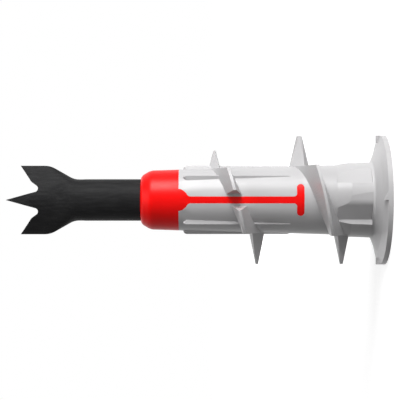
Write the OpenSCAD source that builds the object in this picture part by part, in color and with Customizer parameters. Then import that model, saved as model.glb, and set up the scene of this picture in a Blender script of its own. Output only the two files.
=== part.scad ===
/* [Head] */
// Diameter of the head flange
head_d = 15.0; // [13:0.1:17]
// Thickness of the flange at its rim
head_rim_t = 0.54; // [0.4:0.02:0.9]
// Diameter where the underside of the flange turns steeper
head_knee_d = 11.9; // [10.5:0.1:12.4]
// Rise of the underside from the rim to the knee
head_knee_rise = 0.4; // [0.2:0.05:0.7]
// Rise of the underside from the knee to the neck
head_cone_rise = 0.63; // [0.4:0.05:1]
// Radius of the fillet between the flange and the neck
head_fillet_r = 0.35; // [0.2:0.05:0.6]
// Height of the small locking teeth under the rim
lock_tooth_h = 0.44; // [0.2:0.02:0.6]
// Length of the ramp of a locking tooth
lock_tooth_l = 1.0; // [0.5:0.05:1.2]
// Radial width of a locking tooth
lock_tooth_w = 0.8; // [0.5:0.05:1]
// Number of locking teeth under the rim
lock_teeth = 4; // [2:1:6]

/* [Driver recess] */
// Width across the wings of the cross recess at the head face
recess_span = 6.4; // [5.6:0.1:7]
// Width of one wing of the cross recess
recess_wing = 1.15; // [0.9:0.05:1.4]
// Depth of the cross recess
recess_depth = 2.8; // [2:0.1:3.6]
// Slope of the wing ends from the axis
recess_draft = 14; // [5:1:20]

/* [Screw bore] */
// Diameter of the screw bore behind the recess
bore_d = 3.6; // [3:0.1:4.2]
// Length of the bore at its full diameter, from the head face
bore_full_l = 13.0; // [10:0.5:16]
// Diameter of the bore at the nose
bore_nose_d = 2.6; // [2:0.1:3]

/* [Neck] */
// Diameter of the neck at the flange
neck_d = 8.74; // [8.5:0.02:9.2]
// Diameter of the neck at the top of its ramp
neck_top_d = 8.58; // [8.4:0.02:8.9]
// Length of the neck from the flange to the ramp
neck_l = 2.6; // [2:0.1:3.2]
// Length of the ramp from the neck down to the barrel
neck_ramp_l = 1.6; // [1:0.1:2]
// Direction of the flat above the upper ratchet crest
upper_flat_angle = 34; // [28:1:38]
// Distance of that flat from the axis
upper_flat_r = 3.99; // [3.85:0.01:4.05]
// Height of the step below that crest, above the axis
upper_crest_x = 1.99; // [1.8:0.01:2.1]
// Depth of the front flat below the round of the neck
front_flat_cut = 0.11; // [0.05:0.01:0.2]
// Slope of the lower flat from the front one
lower_flat_angle = 29.7; // [26:0.1:33]
// Depth of the lower flat below the round of the neck
lower_flat_cut = 0.53; // [0.4:0.01:0.6]
// Radius of the bend between the two flats
front_bend_r = 1.4; // [0.6:0.1:2]
// Direction of the lower ratchet crest
lower_crest_angle = -40.2; // [-44:0.2:-38]
// Angle from the lower crest to the valley above it
lower_valley_turn = 4.9; // [4:0.1:7]

/* [Barrel] */
// Diameter of the barrel where it meets the neck ramp
barrel_d = 8.06; // [7.9:0.02:8.2]
// Diameter of the barrel at the nose
barrel_nose_d = 7.08; // [6.9:0.01:7.5]
// Length of the light body from the head face to the nose
body_l = 23.87; // [22:0.1:26]
// Radius of the rib crests
rib_r = 3.96; // [3.92:0.01:4.1]
// Width of the rib crests
rib_crest_w = 0.08; // [0.04:0.01:0.2]
// Full angle of the rib section
rib_angle = 78; // [60:2:100]
// Distance of the rib fronts from the nose
rib_front_gap = 0.5; // [0.3:0.02:1.2]
// Half angle of the pointed rib fronts
rib_bow_angle = 38; // [30:1:60]
// Length of the ribs
rib_l = 12.35; // [8:0.05:12.5]
// Length of the slope at the rear end of each rib
rib_end_l = 0.3; // [0.2:0.05:1]

/* [Cutting thread] */
// Diameter over the thread
thread_d = 14.9; // [12:0.02:15.6]
// Pitch of the thread
pitch = 9.84; // [8:0.02:10.5]
// Height of the thread start above the head face
thread_start_z = 4.97; // [4.6:0.01:5.4]
// Distance from the end of the thread to the nose
thread_lead_gap = 1.64; // [1:0.1:3]
// Radius of the thread a quarter turn before its end
thread_lead_r = 5.74; // [5:0.1:6.4]
// Height of the thread above the barrel at its end
thread_end_h = 0.4; // [0.2:0.05:0.8]
// Width of the thread crest
crest_w = 0.35; // [0.2:0.05:0.6]
// Width of the thread at the barrel
thread_root_w = 1.72; // [1.2:0.05:2.2]
// Width of the four side spurs at the barrel, from the head to the nose
spur_root_w = [1.74, 2.28, 1.78, 1.35];
// Width of the four side spurs at their tips, from the head to the nose
spur_tip_w = [0.35, 0.62, 0.31, 0.29];
// Thickness of the side spurs at their tips
spur_tip_t = 0.12; // [0.06:0.02:0.3]
// Depth of a side spur before and behind the parting plane
spur_depth = 1.0; // [0.5:0.1:1.5]
// Clear gap between the thread and each web at the barrel
web_thread_gap = 0.26; // [0.1:0.02:0.5]
// Slope of the thread ends at the webs
web_thread_draft = 9; // [0:1:15]

/* [Red component] */
// Length of the nose collar
nose_l = 4.43; // [3.5:0.1:6]
// Diameter of the nose collar behind its shoulder
nose_d = 6.9; // [6.6:0.02:7.2]
// Radius of the shoulder of the nose
nose_shoulder_r = 1.5; // [0.8:0.1:2]
// Slope of the band in front of that shoulder
nose_slope = 30; // [20:1:40]
// Length of that sloped band
nose_slope_l = 0.44; // [0.2:0.02:0.6]
// Radius of the front edge of the nose
nose_edge_r = 0.8; // [0.4:0.05:0.9]
// Width of the webs along the barrel
web_w = 0.79; // [0.6:0.01:1.1]
// Height of the middle of the cross bar at the end of each web
bar_z = 9.98; // [9.6:0.02:11]
// Length of the cross bar around the barrel
bar_l = 3.62; // [2.8:0.02:4]
// Width of the cross bar
bar_w = 0.84; // [0.6:0.02:1]
// Depth of the cross bar below the surface of the barrel
bar_depth = 1.35; // [1:0.05:1.5]
// Radius of the fillets between the web and the cross bar
bar_fillet_r = 0.35; // [0.2:0.05:0.5]
// Radius of the lobe where each web leaves the nose
lobe_r = 1.27; // [1:0.01:1.5]
// Distance of the lobe's centre in front of the light body
lobe_rise = 0.13; // [0:0.01:0.3]
// Radius of the fillets at that lobe
lobe_fillet_r = 0.4; // [0.2:0.05:0.5]

/* [Drilling tip] */
// Diameter of the tip's round stem
stem_d = 4.84; // [4.4:0.02:5.1]
// Visible length of the stem in front of the nose
stem_l = 7.18; // [5:0.02:10]
// Diameter of the tang that the nose holds
tang_d = 4.0; // [3.4:0.1:4.2]
// Length of the tang inside the nose
tang_l = 3.7; // [3:0.1:4]
// Width across the outer cutting edges
blade_w = 7.98; // [7:0.02:9]
// Length of the blade from the stem to the centre point
blade_l = 8.52; // [7.5:0.02:9]
// Thickness of the blade along its middle
blade_t = 3.2; // [2.4:0.1:3.6]
// Length on which the stem thins to that thickness
blade_thin_l = 3.2; // [2:0.1:4.5]
// Thickness of the blade at its centre point
blade_tip_t = 0.56; // [0.4:0.02:1]
// Slope to which the front of the blade is ground on each side
point_grind = 24; // [18:1:32]
// Distance from the centre point back to the outer cutting points
spike_lead = 1.7; // [1.2:0.05:2.2]
// Half angle of the centre point
spike_angle = 14.8; // [12:0.2:18]
// Slope of the shoulders from the axis
shoulder_angle = 29.6; // [25:0.2:35]
// Radius of the blade's shoulders
shoulder_r = 2.5; // [1.5:0.1:2.6]
// Radius where the shoulders run into the stem
throat_r = 2.1; // [1:0.1:2.2]
// Radius at the root of the two notches
notch_r = 0.4; // [0.3:0.02:0.5]
// Distance from the centre point back to the centres of those roots
notch_depth = 3.46; // [3:0.02:3.8]
// Slope of the notch flank where it leaves the root
flank_angle = 55; // [45:1:65]
// Length of that steep part of the flank
flank_l = 0.58; // [0.3:0.02:0.8]
// Radius that turns the flank towards the outer cutting point
flank_r = 1.15; // [0.8:0.05:1.6]

/* [Hidden] */

// Overlap of solids that are joined
skin = 0.01;
// Inset of a faceted surface from the round one that it leaves
seam = 0.02;
// Height of an outline above the surface that it crosses
proud = 0.2;
// Length by which a cutter runs past what it cuts
spare = 1;
// Depth of the root of a rib inside the barrel
rib_deep = 1;
// Distance that lies beyond every surface of the plug
reach = head_d;
smooth = 96;
// Width of the round ridge of the blade as a share of the blade's own
ridge_share = 0.28;
// Share of the blade's length on which the round stem turns into that ridge
ridge_end = 0.55;

grey_nylon = [0.68, 0.67, 0.68];
red_nylon = [0.95, 0.06, 0.05];
black_steel = [0.10, 0.10, 0.11];

head_r = head_d / 2;
head_h = head_rim_t + head_knee_rise + head_cone_rise;
neck_r = neck_d / 2;
ramp_z = head_h + neck_l;
barrel_z = ramp_z + neck_ramp_l;
nose_z = body_l + nose_l;
stem_top_z = nose_z + stem_l;
point_z = stem_top_z + blade_l;
spike_z = point_z - spike_lead;
tang_z = nose_z - tang_l;
stem_r = stem_d / 2;
stem_blend_l = 0.8;

thread_turn = 360 * (body_l - thread_lead_gap - thread_start_z) / pitch;
thread_step = 3;
thread_sink = 0.45;
lead_turn = 270;
spur_flare = 1.5;
groove_top_r = head_r + spare;
outer_angle = -75;

// Radius of the bare barrel at height z
function barrel_r(z) =
    (barrel_nose_d + (barrel_d - barrel_nose_d) * (body_l - z) / (body_l - barrel_z)) / 2;

// Point at an angle from the front, upwards towards +X, on a circle about the axis
function at(angle, r) = [r * sin(angle), -r * cos(angle)];

// Points of an arc about a centre
function arc(centre, r, from, to, steps) =
    [
        for (i = [0:steps])
        let (a = from + (to - from) * i / steps)
        centre + r * [cos(a), sin(a)]
    ];

// Height of the thread crest after a turn from the first side spur
function thread_z(turn) = thread_start_z + pitch * turn / 360;

// Radius of the thread crest after that turn
function thread_r(turn) = lookup(turn, [
    [thread_turn - lead_turn, thread_d / 2],
    [thread_turn - lead_turn / 3, thread_lead_r],
    [thread_turn, barrel_nose_d / 2 + thread_end_h]
]);

// Half width of the thread at the barrel after that turn
function root_half(turn) = lookup(turn, [
    [thread_turn - lead_turn / 2, thread_root_w / 2],
    [thread_turn, crest_w]
]);

// Section of the thread after that turn, from its sunk foot over the crest
function thread_ring(turn) =
    let (
        z = thread_z(turn),
        r = thread_r(turn),
        shell = barrel_r(z),
        foot = shell - thread_sink,
        half = root_half(turn),
        slope = (half - crest_w / 2) / (r - shell),
        foot_half = half + slope * thread_sink,
        dir = [-cos(turn), -sin(turn)]
    )
    [
        [foot * dir.x, foot * dir.y, z + foot_half],
        [r * dir.x, r * dir.y, z + crest_w / 2],
        [r * dir.x, r * dir.y, z - crest_w / 2],
        [foot * dir.x, foot * dir.y, z - foot_half]
    ];

// Solid through a list of equal rings of points
module loft(rings) {
    n = len(rings[0]);
    last = len(rings) - 1;
    sides = [
        for (i = [0:last - 1], j = [0:n - 1])
        [i * n + j, (i + 1) * n + j, (i + 1) * n + (j + 1) % n, i * n + (j + 1) % n]
    ];
    start = [for (j = [0:n - 1]) j];
    end = [for (j = [n - 1:-1:0]) last * n + j];
    polyhedron(points = [for (ring = rings, p = ring) p], faces = concat([start], sides, [end]));
}

// Outside of the head, neck and barrel without the thread and ribs
module barrel_solid() {
    rotate_extrude($fn = smooth)
    polygon([
        [0, barrel_z],
        [barrel_d / 2, barrel_z],
        [barrel_nose_d / 2, body_l],
        [0, body_l]
    ]);
}

module head_solid() {
    cone_angle = atan(head_cone_rise / (head_knee_d / 2 - neck_r));
    fillet_z = head_h + head_fillet_r * tan((90 - cone_angle) / 2);
    centre = [neck_r - skin + head_fillet_r, fillet_z];
    rotate_extrude($fn = smooth)
    polygon(concat(
        [
            [0, 0],
            [head_r, 0],
            [head_r, head_rim_t],
            [head_knee_d / 2, head_rim_t + head_knee_rise]
        ],
        arc(centre, head_fillet_r, 270 - cone_angle, 180, 4),
        [[0, fillet_z]]
    ));
}

// Cross-section that gives the neck its ratchet, the same after half a turn
module ratchet_section() {
    flat_x = upper_flat_r * sin(upper_flat_angle);
    flat_y = -upper_flat_r * cos(upper_flat_angle);
    run = [cos(upper_flat_angle), sin(upper_flat_angle)];
    valley_run = (upper_crest_x - flat_x) / run.x;
    upper_valley = [flat_x, flat_y] + valley_run * run;
    front_r = neck_r - front_flat_cut;
    lower_r = neck_r - lower_flat_cut;
    corner_x = (front_r * cos(lower_flat_angle) - lower_r) / sin(lower_flat_angle);
    bend_centre = [corner_x + front_bend_r * tan(lower_flat_angle / 2), front_bend_r - front_r];
    valley_angle = lower_crest_angle + lower_valley_turn;
    lower_valley = at(valley_angle, lower_r / cos(valley_angle + lower_flat_angle));
    ledge = at(lower_crest_angle, neck_r) - lower_valley;
    half = concat(
        [
            [flat_x, flat_y] + head_r / 2 * run,
            upper_valley,
            [upper_crest_x, -neck_r + proud],
            [sqrt(pow(neck_r, 2) - pow(front_r, 2)) + proud, -front_r]
        ],
        arc(bend_centre, front_bend_r, -90, -90 - lower_flat_angle, 6),
        [
            lower_valley,
            lower_valley + 2 * ledge,
            at(outer_angle, head_r)
        ]
    );
    polygon(concat(half, [for (p = half) -p]));
}

module neck_solid() {
    intersection() {
        rotate_extrude($fn = smooth)
        polygon([
            [0, head_h],
            [neck_r, head_h],
            [neck_top_d / 2, ramp_z],
            [barrel_d / 2, barrel_z],
            [0, barrel_z]
        ]);
        linear_extrude(height = barrel_z + spare)
        ratchet_section();
    }
}

// Ramped teeth that lock the head in the board's paper
module lock_teeth_ring() {
    intersection() {
        cylinder(h = head_h, r = head_r, $fn = smooth);
        for (i = [0:lock_teeth - 1])
        rotate([0, 0, i * 360 / lock_teeth])
        translate([0, -head_r + lock_tooth_w, head_rim_t - skin])
        rotate([90, 0, 0])
        linear_extrude(height = lock_tooth_w)
        polygon([
            [0, -proud],
            [lock_tooth_l, -proud],
            [lock_tooth_l, skin],
            [seam, lock_tooth_h],
            [0, lock_tooth_h]
        ]);
    }
}

// One rib, pointed in front and rounded up to its crest, with a short slope at its rear end
module rib(angle) {
    front_z = body_l - rib_front_gap;
    end_z = front_z - rib_l;
    rise = rib_r - barrel_r(front_z) + seam;
    end_rise = rib_r - barrel_r(end_z);
    side_run = rib_deep * tan(rib_angle / 2);
    bow_run = rib_deep / tan(rib_bow_angle);
    crest_half = rib_crest_w / 2;
    point_half = rib_crest_w / 4;
    rotate([0, 0, angle])
    intersection() {
        translate([0, 0, end_z - spare])
        linear_extrude(height = rib_l + 2 * spare)
        polygon([
            [rib_r, crest_half],
            [rib_r - rib_deep, crest_half + side_run],
            [rib_r - rib_deep, -crest_half - side_run],
            [rib_r, -crest_half]
        ]);
        rotate([90, 0, 0])
        linear_extrude(height = 2 * reach, center = true)
        polygon(concat(
            [
                [rib_r - rib_deep - proud, end_z - spare],
                [rib_r - end_rise * (1 + proud / rib_end_l), end_z - proud],
                [rib_r + proud * end_rise / rib_end_l, end_z + rib_end_l + proud],
                [rib_r + proud, front_z - rise]
            ],
            arc([rib_r - rise, front_z - rise], rise, 0, 90, 5),
            [[rib_r - rib_deep - proud, front_z]]
        ));
        rotate([90, 0, 90])
        linear_extrude(height = reach)
        polygon([
            [-point_half, front_z],
            [-point_half - rib_deep, front_z - bow_run],
            [-point_half - rib_deep, end_z - 2 * spare],
            [point_half + rib_deep, end_z - 2 * spare],
            [point_half + rib_deep, front_z - bow_run],
            [point_half, front_z]
        ]);
    }
}

// Thread, cut flush with the sides of the barrel and parted at the webs
module cutting_thread() {
    groove_half = web_w / 2 + web_thread_gap;
    groove_top = groove_half + (groove_top_r - barrel_r(body_l)) * tan(web_thread_draft);
    difference() {
        intersection() {
            loft([for (t = [0:thread_step:thread_turn]) thread_ring(t)]);
            rotate([90, 0, 0])
            linear_extrude(height = 2 * reach, center = true)
            polygon([
                [-barrel_r(0), 0],
                [barrel_r(0), 0],
                [barrel_r(body_l), body_l],
                [-barrel_r(body_l), body_l]
            ]);
        }
        for (side = [0, 180])
        rotate([0, 0, side])
        translate([0, 0, bar_z])
        linear_extrude(height = body_l)
        polygon([
            [-groove_half, -barrel_r(body_l)],
            [groove_half, -barrel_r(body_l)],
            [groove_top, -groove_top_r],
            [-groove_top, -groove_top_r]
        ]);
    }
}

// Side spur of the thread: a pointed blade in the parting plane with a ridge before and behind it
module side_spur(i) {
    turn = 180 * i;
    z = thread_z(turn);
    root_r = barrel_r(z) - thread_sink;
    tip_r = thread_r(turn);
    slope = (spur_root_w[i] - spur_tip_w[i]) / 2 / (tip_r - barrel_r(z));
    root_half = spur_root_w[i] / 2 + slope * thread_sink;
    foot = spur_depth * spur_flare;
    lean = pitch * foot / (2 * PI * barrel_r(z));
    side = i % 2 == 0 ? -1 : 1;
    base = [
        [side * root_r, 0, z + root_half],
        [side * root_r, side * foot, z + lean],
        [side * root_r, 0, z - root_half],
        [side * root_r, -side * foot, z - lean]
    ];
    top = [
        [side * tip_r, 0, z + spur_tip_w[i] / 2],
        [side * tip_r, side * spur_tip_t / 2, z],
        [side * tip_r, 0, z - spur_tip_w[i] / 2],
        [side * tip_r, -side * spur_tip_t / 2, z]
    ];
    loft([top, base]);
}

// Screw bore, narrowing to the nose
module screw_bore() {
    translate([0, 0, -spare])
    cylinder(h = bore_full_l + spare, d = bore_d, $fn = smooth);
    translate([0, 0, bore_full_l - skin])
    cylinder(h = body_l - bore_full_l + skin, d1 = bore_d, d2 = bore_nose_d, $fn = smooth);
    translate([0, 0, body_l - skin])
    cylinder(h = tang_z - body_l + skin, d = bore_nose_d, $fn = smooth);
}

module cross_recess() {
    for (turn = [0, 90])
    rotate([90, 0, turn])
    linear_extrude(height = recess_wing, center = true)
    polygon([
        [-recess_span / 2 - spare * tan(recess_draft), -spare],
        [recess_span / 2 + spare * tan(recess_draft), -spare],
        [recess_span / 2 - recess_depth * tan(recess_draft), recess_depth],
        [-recess_span / 2 + recess_depth * tan(recess_draft), recess_depth]
    ]);
}

// Fillet between a straight edge along y at half width x and a round boss about the point [0, boss_y]
module lobe_fillet(x, boss_y, boss_r, r) {
    drop = sqrt(pow(boss_r + r, 2) - pow(x + r, 2));
    centre = [x + r, boss_y - drop];
    touch = centre + r / (boss_r + r) * ([0, boss_y] - centre);
    for (side = [1, -1])
    scale([side, 1])
    difference() {
        polygon([[0, centre.y], centre, touch, [0, boss_y]]);
        translate(centre)
        circle(r = r, $fn = smooth);
    }
}

// Outline of one web seen from the front, with x across and y along the axis
module web_outline() {
    translate([-web_w / 2, bar_z])
    square([web_w, body_l - bar_z]);
    intersection() {
        translate([0, body_l + lobe_rise])
        circle(r = lobe_r, $fn = smooth);
        translate([-lobe_r, bar_z])
        square([2 * lobe_r, body_l - bar_z]);
    }
    lobe_fillet(web_w / 2, body_l + lobe_rise, lobe_r, lobe_fillet_r);
}

// Outline of the cross bar with its round ends and the fillets to the web
module bar_outline() {
    end_x = (bar_l - bar_w) / 2;
    translate([-end_x, bar_z - bar_w / 2])
    square([2 * end_x, bar_w]);
    for (side = [-1, 1])
    translate([side * end_x, bar_z])
    circle(d = bar_w, $fn = smooth);
    for (side = [-1, 1])
    scale([side, 1])
    difference() {
        translate([0, bar_z])
        square([web_w / 2 + bar_fillet_r, bar_w / 2 + bar_fillet_r]);
        translate([web_w / 2 + bar_fillet_r, bar_z + bar_w / 2 + bar_fillet_r])
        circle(r = bar_fillet_r, $fn = smooth);
    }
}

// Space that the red webs fill in the wall of the body
module web_space() {
    bar_floor = barrel_r(bar_z) - bar_depth;
    for (side = [0, 180])
    rotate([0, 0, side])
    rotate([90, 0, 0]) {
        linear_extrude(height = reach)
        web_outline();
        translate([0, 0, bar_floor])
        linear_extrude(height = reach)
        bar_outline();
    }
}

module plug_body() {
    color(grey_nylon)
    difference() {
        union() {
            head_solid();
            neck_solid();
            barrel_solid();
            lock_teeth_ring();
            for (angle = [-135, -45, 0, 45, 135, 180])
            rib(angle);
            cutting_thread();
            for (i = [0:3])
            side_spur(i);
        }
        web_space();
        screw_bore();
        cross_recess();
    }
}

// Collar that holds the tip, with a shoulder, a sloped band and a round front edge
module nose_collar() {
    slope_z = nose_z - nose_edge_r * (1 - sin(nose_slope)) - nose_slope_l;
    shoulder_z = slope_z - nose_shoulder_r * sin(nose_slope);
    slope_r = nose_d / 2 - nose_shoulder_r * (1 - cos(nose_slope)) - nose_slope_l * tan(nose_slope);
    face_r = slope_r - nose_edge_r * cos(nose_slope);
    difference() {
        rotate_extrude($fn = smooth)
        polygon(concat(
            [
                [0, body_l],
                [barrel_nose_d / 2, body_l]
            ],
            arc([nose_d / 2 - nose_shoulder_r, shoulder_z], nose_shoulder_r, 0, nose_slope, 6),
            arc([face_r, nose_z - nose_edge_r], nose_edge_r, nose_slope, 90, 6),
            [[0, nose_z]]
        ));
        translate([0, 0, tang_z])
        cylinder(h = tang_l + spare, d = tang_d, $fn = smooth);
    }
}

module nose_web() {
    color(red_nylon)
    difference() {
        union() {
            nose_collar();
            intersection() {
                barrel_solid();
                web_space();
            }
        }
        screw_bore();
    }
}

// Half width of the blade at a height above the stem, through its throat, shoulder slope and shoulder round
function blade_half(up) =
    let (
        root = stem_r - seam,
        rise = blade_w / 2 - root,
        bend = 1 - cos(shoulder_angle),
        throat_end = throat_r * sin(shoulder_angle),
        slope_rise = rise - (throat_r + shoulder_r) * bend,
        slope_end = throat_end + slope_rise / tan(shoulder_angle),
        shoulder_end = slope_end + shoulder_r * sin(shoulder_angle)
    )
    up < throat_end ? root + throat_r - sqrt(pow(throat_r, 2) - pow(up, 2)) :
    up < slope_end ? root + throat_r * bend + (up - throat_end) * tan(shoulder_angle) :
    up < shoulder_end ? blade_w / 2 - shoulder_r + sqrt(pow(shoulder_r, 2) - pow(shoulder_end - up, 2)) :
    blade_w / 2;

// Height of the ridge at a share of the half width, from 1 in the middle to 0 at the edge
function ridge(u) =
    1 - (sqrt(1 + pow(u / ridge_share, 2)) - 1) / (sqrt(1 + pow(1 / ridge_share, 2)) - 1);

// Smooth rise from 0 to 1
function ease(s) =
    s < 1 ? s * s * (3 - 2 * s) : 1;

// Section of the blade at a height above the stem, round at the stem and then a ridge with sharp edges
function blade_ring(up) =
    let (
        root = stem_r - seam,
        rise = max(up, 0),
        w = blade_half(rise),
        thin = root - (root - blade_t / 2) * ease(rise / blade_thin_l),
        t = min(thin, blade_tip_t / 2 + (blade_l - rise) * tan(point_grind)),
        blend = ease(rise / (ridge_end * blade_l))
    )
    [
        for (a = [0:7.5:352.5])
        let (height = (1 - blend) * abs(sin(a)) + blend * ridge(cos(a)))
        [w * cos(a), t * sign(sin(a)) * height, stem_top_z + up]
    ];

// Round stem, narrowing a little at its end so that the blade leaves it without a step
module stem() {
    rotate_extrude($fn = smooth)
    polygon([
        [0, nose_z],
        [stem_r, nose_z],
        [stem_r, stem_top_z - stem_blend_l],
        [stem_r - 2 * seam, stem_top_z],
        [0, stem_top_z]
    ]);
}

// Outline of the notch between the centre point and one outer cutting point
module notch_outline() {
    root = [notch_depth * tan(spike_angle) + notch_r / cos(spike_angle), point_z - notch_depth];
    run = [cos(flank_angle), sin(flank_angle)];
    side = [sin(flank_angle), -cos(flank_angle)];
    touch = root - notch_r * [cos(spike_angle), sin(spike_angle)];
    leave = root + notch_r * side;
    centre = leave + flank_l * run + flank_r * side;
    half = blade_w / 2;
    translate(root)
    circle(r = notch_r, $fn = smooth);
    polygon(concat(
        [
            [skin, point_z],
            touch,
            root,
            leave
        ],
        arc(centre, flank_r, 90 + flank_angle, 90 + shoulder_angle, 4),
        [
            [half, spike_z],
            [half + spare, spike_z],
            [half + spare, point_z + spare],
            [skin, point_z + spare]
        ]
    ));
}

module drill_tip() {
    steps = 30;
    color(black_steel)
    difference() {
        union() {
            translate([0, 0, tang_z])
            cylinder(h = tang_l + skin, d = tang_d, $fn = smooth);
            stem();
            loft([for (i = [-1:steps]) blade_ring(i < 0 ? -stem_blend_l : blade_l * i / steps)]);
        }
        for (side = [0, 180])
        rotate([90, 0, side])
        linear_extrude(height = reach, center = true)
        notch_outline();
    }
}

plug_body();
nose_web();
drill_tip();
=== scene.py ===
"""Finishes of a self-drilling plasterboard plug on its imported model.

The body is light grey nylon, the nose and its webs are red nylon, and the
drilling tip is blackened steel.
"""

import math

import bpy
from bpy.props import FloatProperty, FloatVectorProperty, PointerProperty
from bpy.types import Operator, Panel, PropertyGroup
from mathutils import Matrix, Vector


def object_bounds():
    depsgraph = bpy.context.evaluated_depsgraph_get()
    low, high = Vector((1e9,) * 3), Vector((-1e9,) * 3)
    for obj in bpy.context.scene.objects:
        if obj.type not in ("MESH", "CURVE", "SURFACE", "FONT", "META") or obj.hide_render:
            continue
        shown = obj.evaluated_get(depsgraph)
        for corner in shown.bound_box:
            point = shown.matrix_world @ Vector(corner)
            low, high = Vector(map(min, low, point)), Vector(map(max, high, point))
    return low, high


bl_info = {
    "name": "Plasterboard plug finishes",
    "version": (1, 0, 0),
    "blender": (4, 5, 0),
    "location": "View3D > Sidebar > Plug",
    "description": "Nylon and blackened steel finishes for a plasterboard plug, with its stage",
    "category": "Material",
}

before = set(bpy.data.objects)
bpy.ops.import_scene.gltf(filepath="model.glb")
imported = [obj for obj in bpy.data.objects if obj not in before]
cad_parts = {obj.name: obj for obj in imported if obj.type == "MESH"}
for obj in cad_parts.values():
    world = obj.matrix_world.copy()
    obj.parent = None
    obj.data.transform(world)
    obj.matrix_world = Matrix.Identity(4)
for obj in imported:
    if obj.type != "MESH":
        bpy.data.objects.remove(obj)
cad_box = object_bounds()

MM = 0.001
PLUG_LENGTH = (cad_box[1] - cad_box[0]).z
LAMP_DISTANCE = 0.34

# The nodes of a material are laid out on a grid in the node editor.
NODE_LEFT, NODE_TOP = -1400, 300
NODE_COLUMN, NODE_ROW = 220, 260

GRAIN_DEPTH = 0.01 * MM
STREAK_WIDTH = 0.25 * MM
STEEL_EDGE_RADIUS = 0.05 * MM

# The floor glows for the rays that see it, and less round the head, where
# the lamps light it and the plug's shadow falls.
FLOOR_COLOUR = (0.45, 0.45, 0.45, 1)
NEAR_FLOOR, FAR_FLOOR = 0.03, 0.20
NEAR_FLOOR_GLOW, FAR_FLOOR_GLOW = 0.66, 1.01

# Each settings group on the scene, with the operator that uses it.
PIECES = (
    ("plug_grey", "plug.grey_body"),
    ("plug_red", "plug.red_nose"),
    ("plug_black", "plug.black_tip"),
    ("plug_stage", "plug.stage"),
)


class GreyNylonSettings(PropertyGroup):
    """Sizes and colours of the light grey moulded body"""

    colour: FloatVectorProperty(
        name="Colour", description="Colour of the light grey nylon",
        subtype="COLOR", size=3, min=0, max=1, default=(0.43, 0.425, 0.43),
    )
    deep_colour: FloatVectorProperty(
        name="Deep colour", description="Colour of the nylon where the melt flowed slowly",
        subtype="COLOR", size=3, min=0, max=1, default=(0.41, 0.405, 0.41),
    )
    roughness: FloatProperty(
        name="Roughness", description="Roughness of the moulded skin",
        subtype="FACTOR", min=0, max=1, default=0.36,
    )
    edge_radius: FloatProperty(
        name="Edge radius", description="Radius that the mould leaves on each edge",
        unit="LENGTH", min=0, max=0.001, precision=5, default=0.06 * MM,
    )


class RedNylonSettings(PropertyGroup):
    """Sizes and colours of the red nose and its webs"""

    colour: FloatVectorProperty(
        name="Colour", description="Colour of the red nylon",
        subtype="COLOR", size=3, min=0, max=1, default=(0.80, 0.002, 0.002),
    )
    deep_colour: FloatVectorProperty(
        name="Deep colour", description="Darker streaks in the red nylon",
        subtype="COLOR", size=3, min=0, max=1, default=(0.73, 0.002, 0.001),
    )
    roughness: FloatProperty(
        name="Roughness", description="Roughness of the moulded skin",
        subtype="FACTOR", min=0, max=1, default=0.36,
    )
    edge_radius: FloatProperty(
        name="Edge radius", description="Radius that the mould leaves on each edge",
        unit="LENGTH", min=0, max=0.001, precision=5, default=0.08 * MM,
    )


class BlackSteelSettings(PropertyGroup):
    """Sizes and colours of the blackened drilling tip"""

    colour: FloatVectorProperty(
        name="Colour", description="Colour of the blackened steel",
        subtype="COLOR", size=3, min=0, max=1, default=(0.0115, 0.0115, 0.012),
    )
    rubbed_colour: FloatVectorProperty(
        name="Rubbed colour",
        description="Colour of the faint streaks where the black is thinner",
        subtype="COLOR", size=3, min=0, max=1, default=(0.022, 0.022, 0.0225),
    )
    roughness: FloatProperty(
        name="Roughness", description="Roughness of the blackened skin",
        subtype="FACTOR", min=0, max=1, default=0.5,
    )
    streak_length: FloatProperty(
        name="Streak length", description="Length of the streaks along the tip",
        unit="LENGTH", min=0.0001, max=0.01, precision=5, default=1.6 * MM,
    )


class StageSettings(PropertyGroup):
    """Sizes of the floor, lamps and camera"""

    camera_distance: FloatProperty(
        name="Camera distance", description="Distance of the camera from the plug's axis",
        unit="LENGTH", min=0.05, max=1, default=0.1456,
    )
    camera_height: FloatProperty(
        name="Camera height", description="Height of the camera above the floor",
        unit="LENGTH", min=0, max=0.1, default=0.02142,
    )
    lens: FloatProperty(
        name="Lens", description="Focal length in millimetres",
        min=20, max=300, default=112.5,
    )
    floor_size: FloatProperty(
        name="Floor size", description="Side of the square floor",
        unit="LENGTH", min=0.2, max=20, default=4.0,
    )
    key_power: FloatProperty(
        name="Key power", description="Power of the main lamp beside the plug, in watts",
        min=0, max=50, default=1.95,
    )
    end_power: FloatProperty(
        name="End power",
        description="Power of the lamp that leans over the drilling tip, in watts",
        min=0, max=50, default=0.45,
    )
    tip_power: FloatProperty(
        name="Tip power",
        description="Power of the wide lamp above the point, seen in gloss, in watts",
        min=0, max=50, default=0.3,
    )
    fill_power: FloatProperty(
        name="Fill power", description="Power of the weak lamp from the other side, in watts",
        min=0, max=50, default=0.02,
    )
    back_power: FloatProperty(
        name="Back power", description="Power of the lamp behind the plug, in watts",
        min=0, max=50, default=0.6,
    )


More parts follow.
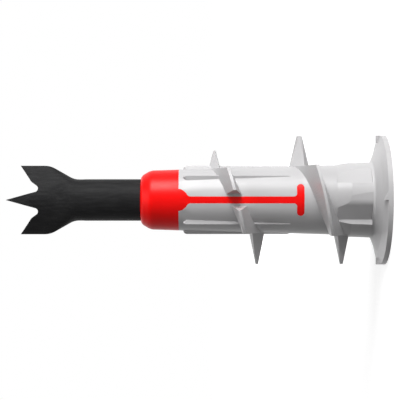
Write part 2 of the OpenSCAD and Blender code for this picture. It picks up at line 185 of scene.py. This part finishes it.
class MaterialMaker:
    """Builds one node material, placing its nodes from left to right"""

    def __init__(self, name):
        self.material = bpy.data.materials.new(name)
        self.material.use_nodes = True
        self.tree = self.material.node_tree
        self.shader = self.tree.nodes["Principled BSDF"]

    def add(self, kind, column, row, **values):
        """Adds a node at its place on the grid"""
        node = self.tree.nodes.new(kind)
        node.location = (NODE_LEFT + NODE_COLUMN * column, NODE_TOP - NODE_ROW * row)
        for key, value in values.items():
            setattr(node, key, value)
        return node

    def link(self, source, target):
        """Joins an output socket to an input socket"""
        self.tree.links.new(source, target)

    def noise(self, vector, column, row, scale, detail, rough=0.5):
        """Noise of a given number of cells a metre"""
        node = self.add("ShaderNodeTexNoise", column, row)
        node.inputs["Scale"].default_value = scale
        node.inputs["Detail"].default_value = detail
        node.inputs["Roughness"].default_value = rough
        self.link(vector, node.inputs["Vector"])
        return node.outputs["Fac"]

    def ramp(self, factor, column, row, low, high, colour_low, colour_high):
        """Blends two colours between two values of a factor"""
        node = self.add("ShaderNodeValToRGB", column, row)
        node.color_ramp.elements[0].position = low
        node.color_ramp.elements[1].position = high
        node.color_ramp.elements[0].color = (*colour_low, 1)
        node.color_ramp.elements[1].color = (*colour_high, 1)
        self.link(factor, node.inputs["Fac"])
        return node.outputs["Color"]

    def spread(self, factor, column, row, low, high):
        """Maps a factor onto the span from low to high"""
        node = self.add("ShaderNodeMapRange", column, row)
        node.inputs["To Min"].default_value = low
        node.inputs["To Max"].default_value = high
        self.link(factor, node.inputs["Value"])
        return node.outputs["Result"]

    def place(self, column, row, scale=(1, 1, 1)):
        """The piece's own coordinates, scaled along each axis"""
        coordinates = self.add("ShaderNodeTexCoord", column, row)
        mapping = self.add("ShaderNodeMapping", column + 1, row)
        mapping.inputs["Scale"].default_value = scale
        self.link(coordinates.outputs["Object"], mapping.inputs["Vector"])
        return mapping.outputs["Vector"]

    def relief(self, height, column, row, strength, edge_radius):
        """Raises the grain of the skin and rounds the edges"""
        edge = self.add("ShaderNodeBevel", column - 1, row, samples=6)
        edge.inputs["Radius"].default_value = edge_radius
        bump = self.add("ShaderNodeBump", column, row)
        bump.inputs["Distance"].default_value = GRAIN_DEPTH
        bump.inputs["Strength"].default_value = strength
        self.link(height, bump.inputs["Height"])
        self.link(edge.outputs["Normal"], bump.inputs["Normal"])
        self.link(bump.outputs["Normal"], self.shader.inputs["Normal"])


def grey_nylon_material(values):
    """Light grey nylon with a satin skin and faint cloudy flow marks"""
    maker = MaterialMaker("grey_nylon_finish")
    clouds = maker.noise(maker.place(0, 0, (1, 1, 0.35)), 2, 0, scale=420.0, detail=5.0)
    grain = maker.noise(maker.place(0, 2), 2, 2, scale=9000.0, detail=3.0)
    maker.link(
        maker.ramp(
            clouds, 3, 0, low=0.35, high=0.7,
            colour_low=values.deep_colour, colour_high=values.colour,
        ),
        maker.shader.inputs["Base Color"],
    )
    maker.link(
        maker.spread(
            clouds, 3, 1, low=values.roughness + 0.06, high=values.roughness - 0.06,
        ),
        maker.shader.inputs["Roughness"],
    )
    maker.relief(grain, 4, 2, strength=0.25, edge_radius=values.edge_radius)
    maker.shader.inputs["Specular IOR Level"].default_value = 0.35
    return maker.material


def red_nylon_material(values):
    """Red nylon with a satin skin and fine mottling"""
    maker = MaterialMaker("red_nylon_finish")
    clouds = maker.noise(maker.place(0, 0, (1, 1, 0.5)), 2, 0, scale=700.0, detail=5.0)
    grain = maker.noise(maker.place(0, 2), 2, 2, scale=8000.0, detail=3.0)
    maker.link(
        maker.ramp(
            clouds, 3, 0, low=0.3, high=0.65,
            colour_low=values.deep_colour, colour_high=values.colour,
        ),
        maker.shader.inputs["Base Color"],
    )
    maker.link(
        maker.spread(
            clouds, 3, 1, low=values.roughness + 0.08, high=values.roughness - 0.08,
        ),
        maker.shader.inputs["Roughness"],
    )
    maker.relief(grain, 4, 2, strength=0.3, edge_radius=values.edge_radius)
    maker.shader.inputs["Specular IOR Level"].default_value = 0.17
    return maker.material


def black_steel_material(values):
    """Blackened steel with faint rubbed streaks along the tip"""
    maker = MaterialMaker("black_steel_finish")
    stretch = values.streak_length / STREAK_WIDTH
    streaks = maker.noise(
        maker.place(0, 0, (1, 1, 1 / stretch)), 2, 0, scale=3200.0, detail=6.0, rough=0.65,
    )
    clouds = maker.noise(maker.place(0, 1, (1, 1, 0.5)), 2, 1, scale=600.0, detail=4.0)
    maker.link(
        maker.ramp(
            streaks, 3, 0, low=0.4, high=0.75,
            colour_low=values.colour, colour_high=values.rubbed_colour,
        ),
        maker.shader.inputs["Base Color"],
    )
    maker.link(
        maker.spread(
            clouds, 3, 1, low=values.roughness + 0.12, high=values.roughness - 0.12,
        ),
        maker.shader.inputs["Roughness"],
    )
    maker.relief(streaks, 4, 2, strength=0.4, edge_radius=STEEL_EDGE_RADIUS)
    maker.shader.inputs["Specular IOR Level"].default_value = 0.05
    return maker.material


def dress(node_name, material):
    """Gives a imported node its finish"""
    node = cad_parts[node_name]
    node.data.materials.clear()
    node.data.materials.append(material)
    for face in node.data.polygons:
        face.material_index = 0


class PLUG_OT_grey_body(Operator):
    """Finish the light grey body with its head, thread and ribs"""

    bl_idname = "plug.grey_body"
    bl_label = "Finish grey body"

    def execute(self, context):
        dress("plug_body", grey_nylon_material(context.scene.plug_grey))
        return {"FINISHED"}


class PLUG_OT_red_nose(Operator):
    """Finish the red nose and its webs"""

    bl_idname = "plug.red_nose"
    bl_label = "Finish red nose"

    def execute(self, context):
        dress("nose_web", red_nylon_material(context.scene.plug_red))
        return {"FINISHED"}


class PLUG_OT_black_tip(Operator):
    """Finish the blackened drilling tip"""

    bl_idname = "plug.black_tip"
    bl_label = "Finish black tip"

    def execute(self, context):
        dress("drill_tip", black_steel_material(context.scene.plug_black))
        return {"FINISHED"}


def seen_rays(tree):
    """1 for the rays that see a surface directly, in gloss or through glass, and 0 for others"""
    path = tree.nodes.new("ShaderNodeLightPath")
    total = path.outputs["Is Camera Ray"]
    for name in ("Is Glossy Ray", "Is Transmission Ray"):
        either = tree.nodes.new("ShaderNodeMath")
        either.operation = "MAXIMUM"
        tree.links.new(total, either.inputs[0])
        tree.links.new(path.outputs[name], either.inputs[1])
        total = either.outputs[0]
    return total


def make_world():
    """A white backdrop, seen directly and in gloss, which sheds no light of its own"""
    world = bpy.data.worlds.new("studio")
    bpy.context.scene.world = world
    world.use_nodes = True
    tree = world.node_tree
    background = tree.nodes["Background"]
    background.inputs["Color"].default_value = (1, 1, 1, 1)
    tree.links.new(seen_rays(tree), background.inputs["Strength"])


def floor_glow(tree):
    """Strength of the floor's glow, which is weaker round the head"""
    coordinates = tree.nodes.new("ShaderNodeTexCoord")
    distance = tree.nodes.new("ShaderNodeVectorMath")
    distance.operation = "LENGTH"
    share = tree.nodes.new("ShaderNodeMapRange")
    share.interpolation_type = "SMOOTHSTEP"
    share.inputs["From Min"].default_value = NEAR_FLOOR
    share.inputs["From Max"].default_value = FAR_FLOOR
    share.inputs["To Min"].default_value = NEAR_FLOOR_GLOW
    share.inputs["To Max"].default_value = FAR_FLOOR_GLOW
    strength = tree.nodes.new("ShaderNodeMath")
    strength.operation = "MULTIPLY"
    tree.links.new(coordinates.outputs["Object"], distance.inputs[0])
    tree.links.new(distance.outputs["Value"], share.inputs["Value"])
    tree.links.new(share.outputs["Result"], strength.inputs[0])
    tree.links.new(seen_rays(tree), strength.inputs[1])
    return strength.outputs[0]


def make_floor(values):
    """A plain pale floor under the head, which keeps the plug's shadow"""
    bpy.ops.mesh.primitive_plane_add(size=values.floor_size, location=(0, 0, 0))
    floor = bpy.context.object
    floor.name = "floor"
    material = bpy.data.materials.new("floor_white")
    material.use_nodes = True
    tree = material.node_tree
    shader = tree.nodes["Principled BSDF"]
    shader.inputs["Base Color"].default_value = FLOOR_COLOUR
    shader.inputs["Roughness"].default_value = 0.9
    shader.inputs["Specular IOR Level"].default_value = 0.0
    glow = tree.nodes.new("ShaderNodeEmission")
    add = tree.nodes.new("ShaderNodeAddShader")
    tree.links.new(floor_glow(tree), glow.inputs["Strength"])
    tree.links.new(shader.outputs[0], add.inputs[0])
    tree.links.new(glow.outputs[0], add.inputs[1])
    tree.links.new(add.outputs[0], tree.nodes["Material Output"].inputs["Surface"])
    floor.data.materials.append(material)


def soft_lamp(name, turn, lift, size, power, gloss=True):
    """A square area lamp outside the picture, which faces the plug's middle

    The turn is in degrees round the plug from the camera's side, and the
    lift in degrees above the floor's plane.
    """
    across = math.cos(math.radians(lift)) * LAMP_DISTANCE
    aim = Vector((0, 0, PLUG_LENGTH / 2))
    place = aim + Vector((
        across * math.sin(math.radians(turn)),
        -across * math.cos(math.radians(turn)),
        math.sin(math.radians(lift)) * LAMP_DISTANCE,
    ))
    data = bpy.data.lights.new(name, "AREA")
    data.shape = "SQUARE"
    data.size = size
    data.energy = power
    lamp = bpy.data.objects.new(name, data)
    bpy.context.scene.collection.objects.link(lamp)
    lamp.location = place
    lamp.rotation_euler = (aim - place).to_track_quat("-Z", "Y").to_euler()
    lamp.visible_camera = False
    lamp.visible_glossy = gloss


def make_camera(values):
    """A camera rolled a quarter turn, so that the plug lies with its tip to the left"""
    data = bpy.data.cameras.new("camera")
    data.sensor_width = 36
    data.lens = values.lens
    camera = bpy.data.objects.new("camera", data)
    bpy.context.scene.collection.objects.link(camera)
    camera.matrix_world = Matrix((
        (0, 1, 0, 0),
        (0, 0, -1, -values.camera_distance),
        (-1, 0, 0, values.camera_height),
        (0, 0, 0, 1),
    ))
    data.clip_start = 0.001
    bpy.context.scene.camera = camera


class PLUG_OT_stage(Operator):
    """Set the backdrop, the floor, the soft lamps and the camera"""

    bl_idname = "plug.stage"
    bl_label = "Set stage"

    def execute(self, context):
        values = context.scene.plug_stage
        make_world()
        make_floor(values)
        soft_lamp("key_lamp", turn=58, lift=8, size=0.19, power=values.key_power)
        soft_lamp("end_lamp", turn=25, lift=58, size=0.20, power=values.end_power, gloss=False)
        soft_lamp("tip_lamp", turn=0, lift=85, size=0.30, power=values.tip_power)
        soft_lamp("fill_lamp", turn=-20, lift=15, size=0.20, power=values.fill_power, gloss=False)
        soft_lamp("back_lamp", turn=180, lift=22, size=0.15, power=values.back_power, gloss=False)
        make_camera(values)
        context.scene.view_settings.view_transform = "Standard"
        return {"FINISHED"}


class PLUG_PT_panel(Panel):
    """Lists the plug's pieces and its stage"""

    bl_idname = "PLUG_PT_panel"
    bl_label = "Plasterboard plug"
    bl_space_type = "VIEW_3D"
    bl_region_type = "UI"
    bl_category = "Plug"

    def draw(self, context):
        for group, operator in PIECES:
            box = self.layout.box()
            values = getattr(context.scene, group)
            for name in values.__annotations__:
                box.prop(values, name)
            box.operator(operator)


SETTINGS = {
    "plug_grey": GreyNylonSettings,
    "plug_red": RedNylonSettings,
    "plug_black": BlackSteelSettings,
    "plug_stage": StageSettings,
}
CLASSES = (
    *SETTINGS.values(),
    PLUG_OT_grey_body,
    PLUG_OT_red_nose,
    PLUG_OT_black_tip,
    PLUG_OT_stage,
    PLUG_PT_panel,
)


def register():
    for cls in CLASSES:
        bpy.utils.register_class(cls)
    for name, settings in SETTINGS.items():
        setattr(bpy.types.Scene, name, PointerProperty(type=settings))


def unregister():
    for name in SETTINGS:
        delattr(bpy.types.Scene, name)
    for cls in reversed(CLASSES):
        bpy.utils.unregister_class(cls)


def main():
    register()
    bpy.ops.object.select_all(action="DESELECT")
    bpy.ops.plug.grey_body()
    bpy.ops.plug.red_nose()
    bpy.ops.plug.black_tip()
    bpy.ops.plug.stage()


if __name__ == "__main__":
    main()
